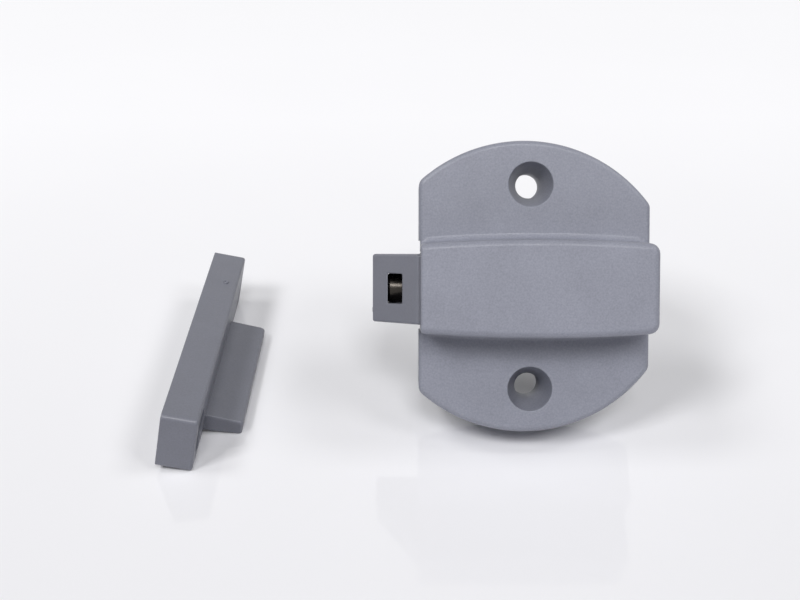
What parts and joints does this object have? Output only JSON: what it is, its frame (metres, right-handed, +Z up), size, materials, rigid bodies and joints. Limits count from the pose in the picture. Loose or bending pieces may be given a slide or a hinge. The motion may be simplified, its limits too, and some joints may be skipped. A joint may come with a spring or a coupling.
{
  "type": "magnetic push latch",
  "caption": "Grey surface-mounted push latch with a sloped spring bolt that holds a magnet, shown beside its lipped striker plate.",
  "frame": {"origin": "middle between the housing's two screw holes, on the mounting plane behind it", "axes": "+X is the way that the bolt slides back, +Z is up, away from the surface that both pieces are shown on; the housing leans back 28.5 degrees about X, and the striker lies lengthwise along Y"},
  "size_m": [0.0967, 0.0651, 0.0557],
  "materials": {
    "housing_plastic": "matte",
    "bolt_plastic": "satin",
    "striker_plastic": "satin",
    "cover_plastic": "matte",
    "magnet_nickel": "polished",
    "zinc_steel": "satin",
    "spring_steel": "satin",
    "buffer_rubber": "matte"
  },
  "bodies": {
    "case": {"housing": "housing_plastic", "back_cover": "cover_plastic", "cover_screw_1": "zinc_steel", "cover_screw_2": "zinc_steel", "cover_screw_3": "zinc_steel", "cover_screw_4": "zinc_steel", "return_spring_upper": "spring_steel", "return_spring_lower": "spring_steel", "spring_pin_upper": "zinc_steel", "spring_pin_lower": "zinc_steel", "bolt_buffer": "buffer_rubber", "striker": "striker_plastic"},
    "bolt_unit": {"bolt": "bolt_plastic", "bolt_magnet": "magnet_nickel", "magnet_plug": "cover_plastic"}
  },
  "joints": [
    {"name": "bolt_slide", "type": "slide", "parent": "case", "child": "bolt_unit", "axis": [1, 0, 0], "range_m": [0, 0.009], "stiffness_N_per_m": 950, "springref_m": -0.0037, "deforming": ["return_spring_upper", "return_spring_lower"]}
  ]
}
